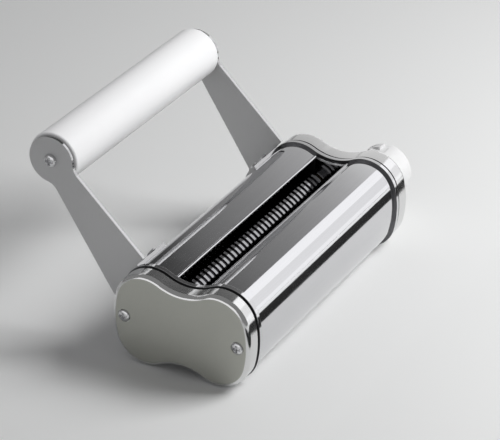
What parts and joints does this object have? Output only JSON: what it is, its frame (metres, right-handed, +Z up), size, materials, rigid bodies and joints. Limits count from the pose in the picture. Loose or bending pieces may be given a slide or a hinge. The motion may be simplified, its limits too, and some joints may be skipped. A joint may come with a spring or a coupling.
{
  "type": "pasta cutter head",
  "caption": "Driven spaghetti cutter head: interleaved ringed rollers geared together in a curved steel housing, with combs, a drive hub and a free guide roller on two arms.",
  "frame": {"origin": "on the front roller's axis, where the drive hub's round seat begins", "axes": "+X along the rollers and out of the drive hub, +Y from the front roller to the guide bracket, +Z up"},
  "size_m": [0.2085, 0.1331, 0.1058],
  "materials": {
    "satin_cap": "satin",
    "bright_steel": "polished",
    "gasket": "matte",
    "plain_steel": "turned",
    "screw_steel": "bright",
    "bush_bronze": "sintered",
    "comb_plastic": "moulded",
    "hub_plastic": "moulded",
    "arm_steel": "satin",
    "roller_steel": "ground",
    "guide_plastic": "smooth"
  },
  "bodies": {
    "frame": {"near_end_cap": "satin_cap", "far_end_cap": "satin_cap", "near_gasket": "gasket", "far_gasket": "gasket", "near_side_plate": "bright_steel", "far_side_plate": "bright_steel", "front_cover": "bright_steel", "rear_cover": "bright_steel", "front_tie_rod": "plain_steel", "rear_tie_rod": "plain_steel", "near_cap_screws": "screw_steel", "far_cap_screws": "screw_steel", "front_near_bush": "bush_bronze", "front_far_bush": "bush_bronze", "rear_near_bush": "bush_bronze", "rear_far_bush": "bush_bronze", "front_comb": "comb_plastic", "rear_comb": "comb_plastic", "near_comb_screws": "screw_steel", "far_comb_screws": "screw_steel", "drive_hub": "hub_plastic", "hub_screws": "screw_steel", "near_arm": "arm_steel", "far_arm": "arm_steel", "near_arm_rivets": "plain_steel", "far_arm_rivets": "plain_steel", "guide_rod": "plain_steel", "guide_rod_screws": "screw_steel"},
    "front_roller_set": {"front_roller": "roller_steel", "front_gear": "plain_steel", "front_near_clip": "plain_steel", "front_far_clip": "plain_steel", "drive_coupling": "plain_steel", "coupling_pin": "plain_steel"},
    "rear_roller_set": {"rear_roller": "roller_steel", "rear_gear": "plain_steel", "rear_near_clip": "plain_steel", "rear_far_clip": "plain_steel"},
    "guide": {"guide_roller": "guide_plastic"}
  },
  "joints": [
    {"name": "front_spin", "type": "hinge", "parent": "frame", "child": "front_roller_set", "pos_m": [-0.0915, 0, 0], "axis": [1, 0, 0], "continuous": true},
    {"name": "rear_spin", "type": "hinge", "parent": "frame", "child": "rear_roller_set", "pos_m": [-0.0915, 0.0255, 0], "axis": [1, 0, 0], "continuous": true},
    {"name": "guide_spin", "type": "hinge", "parent": "frame", "child": "guide", "pos_m": [-0.0915, 0.09355, 0.0665], "axis": [1, 0, 0], "continuous": true}
  ],
  "couplings": [
    {"joint": "rear_spin", "follows": "front_spin", "ratio": -1}
  ]
}
